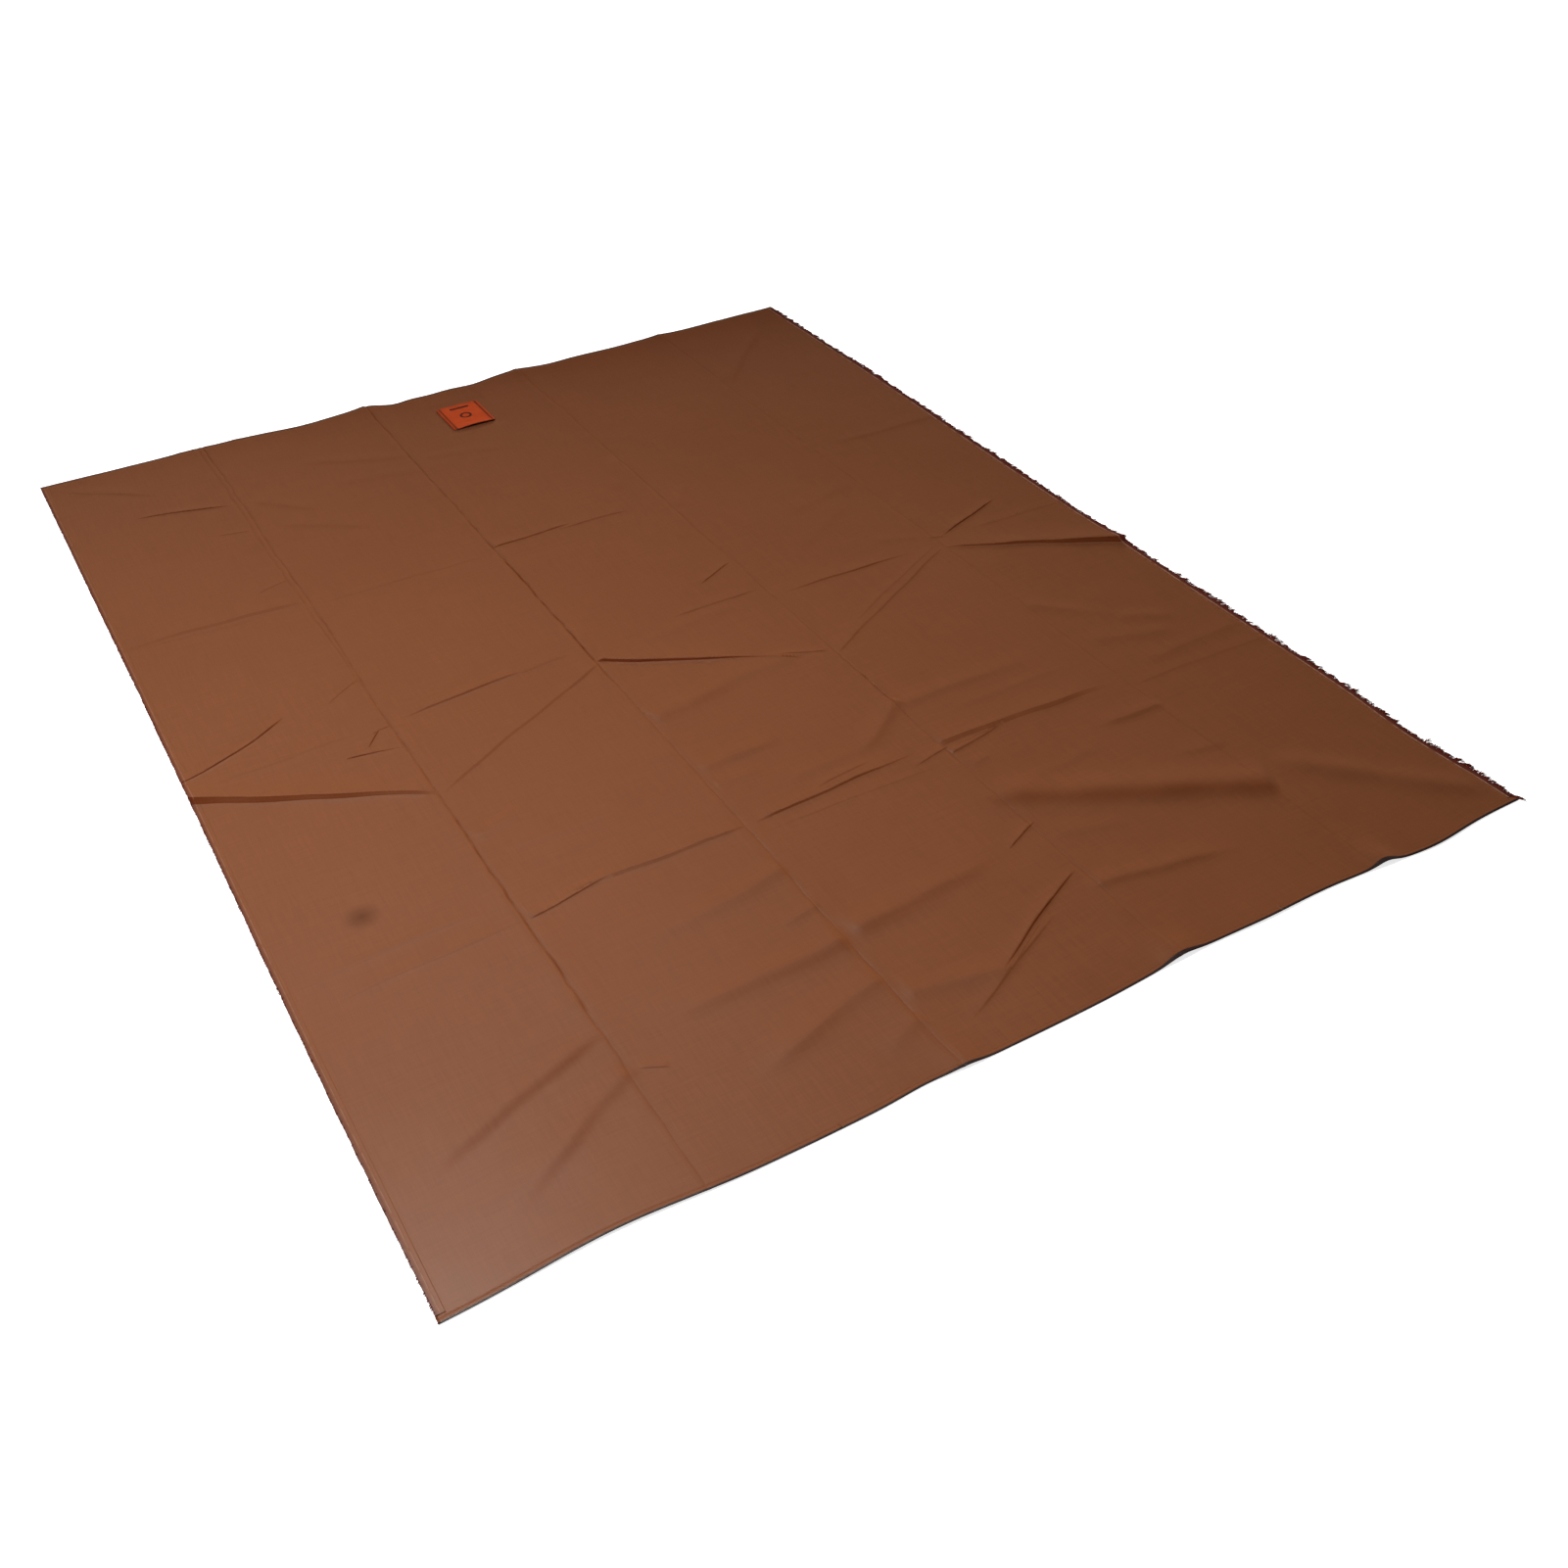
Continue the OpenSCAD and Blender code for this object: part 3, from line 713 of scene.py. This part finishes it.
def thread_noise(graph, spot):
    """Light and dark threads along both directions. It is near 1."""
    total = 0.60
    for scale, strength in THREAD_STREAKS:
        mapping = graph.nodes.new("ShaderNodeMapping")
        graph.feed(mapping.inputs["Scale"], scale)
        graph.feed(mapping.inputs["Vector"], spot)
        streaks = graph.noise(mapping.outputs[0], 1.0, 2.0)
        total = graph.math("ADD", graph.math("MULTIPLY", streaks, strength), total)
    return total


def painted_shade_share(graph):
    """How dark the painted shade is: the soft bands, and the sharp lines with their darker rims."""
    away = graph.math("ABSOLUTE", graph.attribute("line_off"))
    half = graph.attribute("line_half")
    band = graph.soft_below(away, half, 0.55)
    core = graph.soft_below(graph.math("ADD", away, 1.6), half, 0.9)
    band = graph.math("SUBTRACT", band, graph.math("MULTIPLY", core, 0.22))
    sharp = graph.math("MULTIPLY", band, graph.attribute("line_tone"))
    soft = graph.math("MULTIPLY", graph.attribute("marks"), 0.80)
    return graph.math("MAXIMUM", sharp, soft)


def woven_cloth(name, edge_colour):
    """Brown plain weave: fine crossed threads, slubs, soft blotches, painted shade in folds and creases, and
    a sheen.

    edge_colour takes the graph, the spot and the colour so far, and gives the colour with what is
    special to this material, and how matt that is.
    """
    graph, spot = new_material(name)
    threads = thread_noise(graph, spot)
    blotch = graph.noise(spot, 3.2, 4.0)
    marks = painted_shade_share(graph)
    colour = graph.mix(1.0, graph.mix(blotch, *CLOTH_COLOURS), threads, "MULTIPLY")
    colour, matt = edge_colour(graph, spot, graph.mix(marks, colour, PAINTED_SHADE))
    graph.put("Base Color", colour)
    # the painted shade doesn't shine
    matt = graph.math("MULTIPLY", graph.math("MAXIMUM", marks, matt), 2.0, clamp=True)
    for label, full in (("Specular IOR Level", 0.20), ("Sheen Weight", 0.05)):
        graph.put(label, graph.math("MULTIPLY_ADD", matt, -full, full))
    graph.put("Sheen Roughness", 0.45)
    graph.put("Sheen Tint", (0.9, 0.62, 0.48, 1))
    rubbed = graph.near_spot(spot, RUBBED_AT, RUBBED_REACH)
    roughness = graph.math("MULTIPLY_ADD", blotch, 0.10, 0.50)
    graph.put("Roughness", graph.math("MULTIPLY_ADD", rubbed, -0.17, roughness))
    relief = graph.math("ADD", weave_height(graph, spot), threads)
    graph.put("Normal", graph.bump(relief, 0.35, 0.08 * MM))
    return graph.owner


def panel_edge(graph, spot, colour):
    """One faint stain, and the painted shade on the rims of the hems."""
    stain = graph.near_spot(spot, STAIN_AT, STAIN_REACH)
    colour = graph.mix(graph.math("MULTIPLY", stain, 0.75), colour, STAIN)
    return graph.mix(graph.attribute("edge"), colour, EDGE_SHADE), graph.math("MULTIPLY", stain, 0.22)


def band_edge(dark_from, darkness, line_at, line_tone):
    """The band along a long edge: cloth inside, a thin broken pale line, and dark tight threads outside.

    dark_from and line_at are shares of the band's width, which the attribute share holds.
    """
    line_half = 0.055

    def edge_colour(graph, spot, colour):
        share = graph.attribute("share")
        dark = graph.mix(graph.noise(spot, 240), *BAND_COLOURS)
        outside = graph.math("MULTIPLY", graph.math("SUBTRACT", share, dark_from), 12.0, clamp=True)
        colour = graph.mix(graph.math("MULTIPLY", outside, darkness), colour, dark)
        off_line = graph.math("ABSOLUTE", graph.math("SUBTRACT", share, line_at))
        on_line = graph.math("SUBTRACT", line_half, off_line)
        on_line = graph.math("MULTIPLY", on_line, line_tone / line_half, clamp=True)
        on_line = graph.math("MULTIPLY", on_line, graph.soft_below(graph.noise(spot, 70, 2.0), 0.56, 0.12))
        return graph.mix(on_line, colour, BAND_LINE), 0.0

    return edge_colour


def thread_material(name, dark, light, glint=0.06):
    """Twisted sewing thread or loose yarn. One with more glint is smoother."""
    graph, spot = new_material(name)
    graph.put("Base Color", graph.mix(graph.noise(spot, 600), dark, light))
    graph.put("Roughness", 0.75 - 1.4 * (glint - 0.06))
    graph.put("Specular IOR Level", glint)
    graph.put("Normal", graph.bump(graph.noise(spot, 2400, 2.0), 0.5, 0.1 * MM))
    return graph.owner


def leather_material():
    """Rust leather: pebbled grain, darker towards its edges and in the pressed marks, with painted shade
    on its underside and towards its head end.
    """
    graph, spot = new_material("leather_rust")
    cells = graph.nodes.new("ShaderNodeTexVoronoi")
    graph.feed(cells.inputs["Scale"], 900)
    graph.feed(cells.inputs["Vector"], spot)
    mottle = graph.noise(spot, 60, 5.0, 0.6)
    colour = graph.mix(mottle, *LEATHER_COLOURS)
    graph.put("Base Color", graph.mix(graph.attribute("marks"), colour, LEATHER_WORN_AND_SHADE))
    graph.put("Roughness", 0.52)
    graph.put("Specular IOR Level", 0.12)
    grain = graph.math("ADD", cells.outputs["Distance"], mottle)
    graph.put("Normal", graph.bump(grain, 0.4, 0.15 * MM))
    return graph.owner


CLOTH = woven_cloth("cloth_brown", panel_edge)
BAND_LEFT = woven_cloth("selvedge_brown", band_edge(0.62, 0.60, 0.48, 0.26))
BAND_RIGHT = woven_cloth("selvedge_dark", band_edge(0.44, 1.0, 0.37, 0.85))
SEAM_THREAD = thread_material("thread_brown", (0.128, 0.0395, 0.0130, 1), (0.170, 0.0525, 0.0180, 1), 0.20)
# The loose yarn ends are painted much darker than the cloth: painted shade for the lifted, fuzzy fringe.
YARN = thread_material("yarn_dark", (0.054, 0.0082, 0.0046, 1), (0.165, 0.0270, 0.0125, 1))
LABEL_THREAD = thread_material("thread_rust", (0.060, 0.0120, 0.0055, 1), (0.170, 0.0380, 0.0140, 1))
LEATHER = leather_material()


# ---------------------------------------------------------------- pieces
GRID_X, GRID_Y = 4.6 * MM, 2.6 * MM
HEM_GRID_X = 3.0 * MM
# The stitches along the hems, and those on the label: from one to the next, and how long each is.
HEM_PITCH, HEM_STITCH = 4.2 * MM, 3.1 * MM
LABEL_PITCH, LABEL_STITCH = 5.0 * MM, 3.6 * MM
LABEL_SEAM = 6 * MM
# A pressed hem is flatter than its loose layers.
HEM_RISE = 0.45 * (HEM_T - CLOTH_T)
# The top of a turned hem, from its seam outwards: shares of its width, and of its rise.
HEM_TOP = [
    (1.0, 0.0), (0.985, 0.0), (0.88, 0.05), (0.76, 0.20), (0.64, 0.45), (0.52, 0.75), (0.40, 0.95),
    (0.28, 1.0), (0.18, 0.85),
]
HEM_UNDER = [0.4, 0.7, 1.0]
# Heights above this are on the top of the hem.
HEM_TOP_FROM = 0.9 * CLOTH_T


def finish_piece(piece, material, cad_nodes, body=None, crease=None):
    """Gives a piece its material and slot, hides the CAD nodes it replaces, and ties it to one body; a piece
    over a crease instead gets its place baked into its mesh.
    """
    piece.data.materials.append(material)
    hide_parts(*cad_nodes)
    if crease is None:
        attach(piece, body)
        return
    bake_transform(piece)


def beside(prefix, k):
    """The names of the CAD nodes on the two strips beside crease k."""
    return [prefix + STRIPS[k], prefix + STRIPS[k + 1]]


def build_cloth():
    """The cloth, in eight parts: four across, each over one crease, and two along."""
    for k in range(len(CREASES)):
        low = LEFT_CLOTH if k == 0 else SPLITS[k]
        high = RIGHT_CLOTH if k == LAST else SPLITS[k + 1]
        xs = lines_with_detail(low, high, GRID_X, CREASES[k])
        for part, (start, end) in (("foot", (FOOT_SEAM, PART_Y)), ("head", (PART_Y, HEAD_SEAM))):
            ys = np.linspace(start, end, int(round((end - start) / GRID_Y)) + 1)
            gx, gy = np.meshgrid(xs, ys)
            x, y = gx.ravel(), gy.ravel()
            under = sheet_point(x, y)
            top = under + np.array([0, 0, CLOTH_T])
            faces = closed_sheet_faces(*gx.shape)
            values = painted_shade_values(x, y)
            name = f"cloth_{part}_{k + 1}"
            piece = two_sided_sheet(name, top, under, faces, x, y, values, sheet_normal(x, y))
            finish_piece(piece, CLOTH, beside("panel_", k), crease=k)


def hem_outline():
    """Cross-section of a turned hem, from its inner top edge round the fold to its inner underside.

    Each point is the distance from the short edge, as a share of the hem's width, and the height.
    """
    points = [(share, CLOTH_T + rise * HEM_RISE) for share, rise in HEM_TOP]
    # the fold at the short edge is half a circle
    half = (CLOTH_T + 0.60 * HEM_RISE) / 2
    round_share = half / HEM_WIDTH
    steps = 6
    for step in range(steps + 1):
        angle = math.pi / 2 + math.pi * step / steps
        points.append((round_share * (1 + math.cos(angle)), half * (1 + math.sin(angle))))
    return points + [(share, 0.0) for share in HEM_UNDER]


def hem_top(inset):
    """Height of the hem's top this far from the short edge."""
    shares, rises = zip(*sorted(HEM_TOP))
    return CLOTH_T + HEM_RISE * np.interp(inset / HEM_WIDTH, shares, rises)


def stitch_dimple(x, share):
    """The hem's top dips along its stitch line, more between the stitches."""
    pucker = 0.75 + 0.25 * np.sin(2 * np.pi * x / HEM_PITCH)
    return 0.12 * MM * bump(share, STITCH_SHARE, 0.13) * pucker


def hem_rim(end_name, x, share):
    """How much painted shade lies on the rim of a hem. It is widest at the head, and where the foot edge
    stands up.
    """
    if end_name == "head":
        reach = 0.45 + 0 * x
    else:
        u, _ = shares_at(x, 0)
        reach = 0.21 + 0.13 * u + 0.08 * bumps(FOOT_PEAKS, u)
    return np.clip((reach - share) / 0.10 + 0.5, 0, 1)


def build_hem(end_name, edge_y, inward, k):
    """One length of hem over crease k, swept along the short edge."""
    xs = lines_with_detail(SPLITS[k], SPLITS[k + 1], HEM_GRID_X, CREASES[k])
    shares, heights = np.array(hem_outline()).T
    gx, share = np.meshgrid(xs, shares, indexing="ij")
    height = np.broadcast_to(heights, share.shape)
    x, y = gx.ravel(), (edge_y + inward * HEM_WIDTH * share).ravel()
    lift = height - np.where(height > HEM_TOP_FROM, stitch_dimple(gx, share), 0)
    rows, columns = gx.shape
    piece = mesh_object(
        f"{end_name}_hem_{k + 1}",
        sheet_point(x, y, lift.ravel()),
        grid_faces(rows, columns, closed=True),
        rest=flat_rest(x, y),
        marks=(0.03 + 0.05 * bump(share, STITCH_SHARE, 0.10)).ravel(),
        edge=hem_rim(end_name, gx, share).ravel(),
    )
    cap_ends(piece, rows, columns)
    finish_piece(piece, CLOTH, beside(f"{end_name}_hem_", k), crease=k)


def cap_ends(piece, rows, columns):
    """Closes the two open ends of a swept tube with one face each."""
    shape = bmesh.new()
    shape.from_mesh(piece.data)
    shape.verts.ensure_lookup_table()
    for first in (0, (rows - 1) * columns):
        shape.faces.new([shape.verts[first + i] for i in range(columns)])
    bmesh.ops.recalc_face_normals(shape, faces=shape.faces)
    shape.to_mesh(piece.data)
    shape.free()
    for face in piece.data.polygons:
        face.use_smooth = True


def build_tubes(name, paths, radii, rests, sides=6):
    """One mesh of many round threads.

    paths and rests hold each thread's row of points, and radii a radius for each point.
    """
    count, steps = radii.shape
    tangent = np.gradient(paths, axis=1)
    tangent /= np.linalg.norm(tangent, axis=2, keepdims=True)
    # no thread runs along this direction
    side = np.cross(tangent, np.array([0.13, 0.21, 0.97]))
    side /= np.linalg.norm(side, axis=2, keepdims=True)
    other = np.cross(tangent, side)
    turn = (2 * np.pi * np.arange(sides) / sides)[None, None, :, None]
    spread = np.cos(turn) * side[:, :, None, :] + np.sin(turn) * other[:, :, None, :]
    rings = paths[:, :, None, :] + radii[:, :, None, None] * spread
    rest = np.repeat(rests[:, :, None, :], sides, axis=2)
    # the two ends are closed by quads across the ring
    cap = np.array([[0, a + 1, a + 2, a + 3] for a in range(0, sides - 2, 2)])
    one = np.concatenate([grid_faces(steps, sides, closed=True), cap[:, ::-1], cap + (steps - 1) * sides])
    faces = one[None, :, :] + (np.arange(count) * steps * sides)[:, None, None]
    return mesh_object(name, rings.reshape(-1, 3), faces.reshape(-1, 4), rest=rest.reshape(-1, 3))


def stitch_arch(steps):
    """How high a stitch stands along its length, from 0 to 1."""
    return np.sin(np.pi * np.linspace(0.02, 0.98, steps)) ** 0.6


def build_hem_stitches(end_name, edge_y, inward, k):
    """Fine stitches along the hem, over crease k."""
    rng = np.random.default_rng(40 + k)
    steps, clear_of_selvedge = 5, 4 * MM
    low = SPLITS[k] + (clear_of_selvedge if k == 0 else 0)
    high = SPLITS[k + 1] - (clear_of_selvedge if k == LAST else 0)
    first, last = math.ceil(low / HEM_PITCH), math.floor((high - HEM_STITCH) / HEM_PITCH)
    starts = np.arange(first, last + 1) * HEM_PITCH
    along = starts[:, None] + HEM_STITCH * np.linspace(0, 1, steps)
    middle, lean = rng.normal(0, 0.12 * MM, (2, len(starts), 1))
    across = edge_y + inward * STITCH_INSET + middle + lean * np.linspace(-1, 1, steps)
    # the thread is half sunk in the cloth, and its ends go in deeper
    rise = hem_top(STITCH_INSET) - 0.26 * MM + 0.24 * MM * stitch_arch(steps) + 0 * along
    paths = sheet_point(along.ravel(), across.ravel(), rise.ravel()).reshape(*along.shape, 3)
    radii = 0.20 * MM * np.array([0.6, 1, 1, 1, 0.6]) + 0 * along
    rests = np.stack([along, across, rise], axis=-1)
    piece = build_tubes(f"{end_name}_stitches_{k + 1}", paths, radii, rests)
    finish_piece(piece, SEAM_THREAD, beside(f"{end_name}_stitches_", k), crease=k)


def build_selvedge(side, node, inner, outer, fray, material):
    """The dense band along a long edge, swollen like a cord. A high fray makes it thick and ragged."""
    ys = np.linspace(FOOT_SEAM, HEAD_SEAM, int(LENGTH / GRID_Y))
    shares = np.linspace(0, 1, 15)
    gx, gy = np.meshgrid(inner + (outer - inner) * shares, ys)
    share = np.broadcast_to(shares, gx.shape)
    swollen = window(share, 0.45, 0.97, 0.2)
    ribs = 0.09 * MM * np.sin(share * np.pi * 12)
    thick = CLOTH_T + fray * (BAND_T - CLOTH_T + ribs) * swollen
    fine, coarse = value_noise(gx, gy, 7 * MM, seed=11), value_noise(gx, gy, 31 * MM, seed=12)
    frayed = 2.0 * (fine - 0.5) + 2.4 * (coarse - 0.5)
    gx = gx + np.sign(outer - inner) * fray * frayed * MM * smooth_step((share - 0.6) / 0.4)
    x, y = gx.ravel(), gy.ravel()
    faces = closed_sheet_faces(*gx.shape)
    if outer < inner:
        faces = faces[:, ::-1]
    values = {**painted_shade_values(x, y), "share": share.ravel()}
    top, under = sheet_point(x, y, thick.ravel()), sheet_point(x, y)
    piece = two_sided_sheet(f"selvedge_band_{side}", top, under, faces, x, y, values)
    finish_piece(piece, material, [node], body=f"{side}_strip")


def build_yarns(side, node, edge_x, outward, reach, spacing, seed):
    """Loose yarn ends along a selvedge. They lean together in ragged tufts, mostly towards the foot."""
    rng = np.random.default_rng(seed)
    count, steps = int(LENGTH / spacing), 5
    y = FOOT_Y + MM + (LENGTH - 2 * MM) * np.sort(rng.random(count))
    # neighbours are alike: short tufts inside longer patches
    tuft = value_noise(0 * y, y, 8 * MM, seed)
    patch = value_noise(0 * y, y, 46 * MM, seed + 1)
    tilt = value_noise(0 * y, y, 6 * MM, seed + 2)
    to_foot = (HEAD_Y - y) / LENGTH
    length = reach * (0.22 + 0.80 * tuft ** 1.4) * (0.60 + 0.45 * patch + 0.25 * to_foot)
    length = (length * rng.uniform(0.6, 1.15, count))[:, None]
    lean = (2.0 * (tilt - 0.75) + rng.normal(0, 0.20, count))[:, None]
    curl = rng.normal(0, 0.40, count)[:, None]
    t = np.linspace(0, 1, steps)[None, :]
    root = 1.6 * MM
    px = edge_x + outward * (-root + (length + root) * t - 0.25 * length * np.abs(curl) * t ** 3)
    py = y[:, None] + 0.8 * length * (lean * t + curl * t * t)
    rise = 0.45 * MM + rng.uniform(0, 1.5 * MM, count)[:, None] * np.sin(np.pi * 0.8 * t)
    paths = sheet_point(px.ravel(), py.ravel()).reshape(count, steps, 3)
    # the tips hang down towards the ground
    paths[:, :, 2] = paths[:, :, 2] * (1 - 0.6 * t) + rise
    radii = rng.uniform(0.42, 0.72, count)[:, None] * MM * (1 - 0.45 * t)
    piece = build_tubes(f"yarn_ends_{side}", paths, radii, paths)
    finish_piece(piece, YARN, [node], body=f"{side}_strip")


# ---------------------------------------------------------------- label
def label_point(x, y, lift):
    """A point of the stiff label, which moves as one with the cloth under its middle."""
    drift_x, drift_y = edge_drift(LABEL_X, LABEL_Y)
    return np.stack([x + drift_x, y + 0.3 * drift_y, lift], axis=-1)


def label_shape(x, y):
    """How high the leather's underside is above the cloth's top: its foot edge curls up."""
    across = (x - LABEL_X) / LABEL_WIDTH
    to_foot = (LABEL_HIGH.y - y) / LABEL_LENGTH
    arch = np.clip(1 - 3.6 * across ** 2 + 0.5 * across, 0, 1)
    curl = 3.4 * MM * smooth_step((to_foot - 0.74) / 0.28) ** 1.5 * arch
    return 0.05 * MM + curl


def label_marks(x, y):
    """Depth share of the generic pressed marks: a plain bar near the head and a plain ring."""
    soft = 0.8 * MM
    across, along = x - LABEL_X, y - LABEL_Y
    bar = window(across, -0.22 * LABEL_WIDTH, 0.22 * LABEL_WIDTH, soft)
    bar = bar * window(along, 0.31 * LABEL_LENGTH, 0.37 * LABEL_LENGTH, soft)
    away = np.hypot(across, along + 0.01 * LABEL_LENGTH)
    return np.maximum(bar, window(away, 0.085 * LABEL_WIDTH, 0.135 * LABEL_WIDTH, soft))


def build_label():
    """The leather label: a thick rounded sheet with soft edges, pressed marks and a curled foot edge."""
    side = np.linspace(-1, 1, 121)
    gs, gt = np.meshgrid(side, side)
    half_x, half_y = LABEL_WIDTH / 2, LABEL_LENGTH / 2
    # pull the grid's corners in, so that the outline is a rounded rectangle
    squeeze = 1 - 0.06 * np.abs(gs * gt) ** 14
    x, y = (LABEL_X + half_x * gs * squeeze).ravel(), (LABEL_Y + half_y * gt * squeeze).ravel()
    to_edge = np.minimum(half_x * (1 - np.abs(gs)), half_y * (1 - np.abs(gt))).ravel()
    rounded = np.sqrt(1 - (1 - np.clip(to_edge / (1.2 * MM), 0, 1)) ** 2)
    # the foot edge is cut square, so that its thickness shows
    cut = smooth_step((LABEL_LOW.y + 3 * MM - y) / (2 * MM))
    seam = bump(np.abs(x - LABEL_X), half_x - LABEL_SEAM, 2.1 * MM)
    under_lift = CLOTH_T + label_shape(x, y)
    top_lift = under_lift + LABEL_T * (0.35 + 0.65 * np.maximum(rounded, 0.8 * cut))
    top_lift = top_lift - 0.4 * MM * label_marks(x, y) - 0.35 * MM * seam
    worn_mark = label_marks(x, y) * (0.75 + 0.5 * value_noise(x, y, 4 * MM, seed=31))
    dashes = 0.75 + 0.6 * np.sin(2 * np.pi * (y - LABEL_LOW.y) / LABEL_PITCH)
    head_shade = 0.22 * smooth_step((y - LABEL_Y) / half_y - 0.45)
    dark = np.clip(worn_mark + 0.60 * bump(to_edge, 0, 1.5 * MM) + 0.95 * seam * dashes + head_shade, 0, 1)
    piece = mesh_object(
        "leather_label_sewn",
        np.concatenate([label_point(x, y, top_lift), label_point(x, y, under_lift)]),
        closed_sheet_faces(*gs.shape),
        rest=np.tile(flat_rest(x, y), (2, 1)),
        # the underside is all painted shade, so that the gap under the curled foot edge looks dark
        marks=np.concatenate([dark, 0 * dark + 1]),
    )
    finish_piece(piece, LEATHER, ["leather_label"], body="centre_strip")


def build_label_stitches(side, x):
    """A row of stitches along one side of the label."""
    rng = np.random.default_rng(70)
    steps, from_end = 6, 5 * MM
    low, high = LABEL_LOW.y + from_end, LABEL_HIGH.y - from_end
    starts = low + LABEL_PITCH * np.arange(int((high - low) / LABEL_PITCH))
    along = starts[:, None] + LABEL_STITCH * np.linspace(0, 1, steps)
    across = x + rng.normal(0, 0.12 * MM, (len(starts), 1)) + 0 * along
    lift = CLOTH_T + label_shape(across, along) + LABEL_T - 0.45 * MM + 0.55 * MM * stitch_arch(steps)
    radii = 0.42 * MM * np.array([0.6, 1, 1, 1, 1, 0.6]) + 0 * along
    rests = np.stack([across, along, lift], axis=-1)
    piece = build_tubes(f"label_thread_{side}", label_point(across, along, lift), radii, rests, sides=8)
    finish_piece(piece, LABEL_THREAD, [f"label_stitches_{side}"], body="centre_strip")


build_cloth()
for crease_index in range(len(CREASES)):
    build_hem("head", HEAD_Y, -1, crease_index)
    build_hem("foot", FOOT_Y, 1, crease_index)
    build_hem_stitches("head", HEAD_Y, -1, crease_index)
    build_hem_stitches("foot", FOOT_Y, 1, crease_index)
build_selvedge("left", "selvedge_left", LEFT_CLOTH, LEFT_BAND, 0.4, BAND_LEFT)
build_selvedge("right", "selvedge_fringe_right", RIGHT_CLOTH, RIGHT_BAND, 0.9, BAND_RIGHT)
build_yarns("left", "selvedge_left", LEFT_BAND, -1, 1.3 * MM, 3.4 * MM, 21)
build_yarns("right", "selvedge_fringe_right", RIGHT_BAND, 1, 9.5 * MM, 0.60 * MM, 22)
build_label()
build_label_stitches("left", LABEL_LOW.x + LABEL_SEAM)
build_label_stitches("right", LABEL_HIGH.x - LABEL_SEAM)


# ---------------------------------------------------------------- stage, lights and camera
SHEEN_COLOUR = (1.0, 0.92, 0.77)
# Degrees round from the sheet's foot end, above the ground, and of tilt to the side.
CAMERA_AZIMUTH, CAMERA_ELEVATION, CAMERA_ROLL = -29.80, 38.64, -1.22
CAMERA_DISTANCE, CAMERA_TARGET, CAMERA_LENS = 2.1526, (-0.0587, -0.4399, 0), 36.90


def camera_ray(graph):
    """1 for what the camera sees by itself, and 0 for what lights other surfaces."""
    return graph.nodes.new("ShaderNodeLightPath").outputs["Is Camera Ray"]


def build_floor():
    """A plain white floor. It glows for the camera only, so that it is as pale as the world round it."""
    graph = Graph(bpy.data.materials.new("floor_white"))
    graph.put("Base Color", (0.90, 0.90, 0.90, 1))
    graph.put("Roughness", 0.9)
    graph.put("Specular IOR Level", 0.1)
    graph.put("Emission Color", (1, 1, 1, 1))
    graph.put("Emission Strength", graph.math("MULTIPLY", camera_ray(graph), 0.75))
    half, height = 12.0, -0.2 * MM
    corners = [(-half, -half, height), (half, -half, height), (half, half, height), (-half, half, height)]
    floor = mesh_object("floor", corners, [[0, 1, 2, 3]])
    floor.data.materials.append(graph.owner)
    floor.visible_glossy = False


def add_object(name, data, **settings):
    """A lamp or camera, with these settings. It looks straight down until it is turned."""
    for label, value in settings.items():
        setattr(data, label, value)
    made = bpy.data.objects.new(name, data)
    bpy.context.scene.collection.objects.link(made)
    made.rotation_mode = "QUATERNION"
    return made


def direction(azimuth, elevation):
    """The unit vector at these angles in degrees. The azimuth turns from +X towards +Y."""
    azimuth, elevation = math.radians(azimuth), math.radians(elevation)
    flat = math.cos(elevation)
    return Vector((flat * math.cos(azimuth), flat * math.sin(azimuth), math.sin(elevation)))


def area_lamp(name, at, width, length, power, colour=(1, 1, 1)):
    """A rectangular lamp that shines straight down."""
    data = bpy.data.lights.new(name, "AREA")
    lamp = add_object(name, data, shape="RECTANGLE", size=width, size_y=length, energy=power, color=colour)
    lamp.location = at
    return lamp


def build_lights():
    """A softbox over the near left, two lamps for the sheen, and a low even light for the folds."""
    graph = Graph(bpy.data.worlds.new("studio"))
    background = graph.nodes["Background"]
    graph.feed(background.inputs[0], (1, 1, 1, 1))
    # white to the camera, and a faint light to everything else
    graph.feed(background.inputs[1], graph.math("MULTIPLY_ADD", camera_ray(graph), 0.90, 0.10))
    bpy.context.scene.world = graph.owner
    area_lamp("softbox_near", (-0.76, -0.25, 2.10), 1.0, 1.0, 51.2)
    for name, at, width, length, power in (
        ("sheen_strip", (-0.80, 2.10, 2.30), 0.5, 3.4, 20),
        ("sheen_corner", (-0.48, 0.44, 2.30), 0.30, 0.30, 30),
    ):
        lamp = area_lamp(name, at, width, length, power, SHEEN_COLOUR)
        lamp.visible_diffuse = False
    sun = bpy.data.lights.new("low_light", "SUN")
    lamp = add_object("low_light", sun, energy=3.2, angle=math.radians(14))
    lamp.rotation_quaternion = direction(52, 15).to_track_quat("Z", "Y")
    lamp.visible_glossy = False


def build_camera():
    """The camera stands off the foot end's left corner and looks across the sheet."""
    camera = add_object("camera", bpy.data.cameras.new("camera"), sensor_width=36, lens=CAMERA_LENS)
    back = direction(CAMERA_AZIMUTH - 90, CAMERA_ELEVATION)
    camera.location = Vector(CAMERA_TARGET) + back * CAMERA_DISTANCE
    roll = Quaternion((0, 0, 1), math.radians(CAMERA_ROLL))
    camera.rotation_quaternion = (-back).to_track_quat("-Z", "Y") @ roll
    bpy.context.scene.camera = camera


build_floor()
build_lights()
build_camera()
bpy.context.scene.view_settings.view_transform = "Standard"
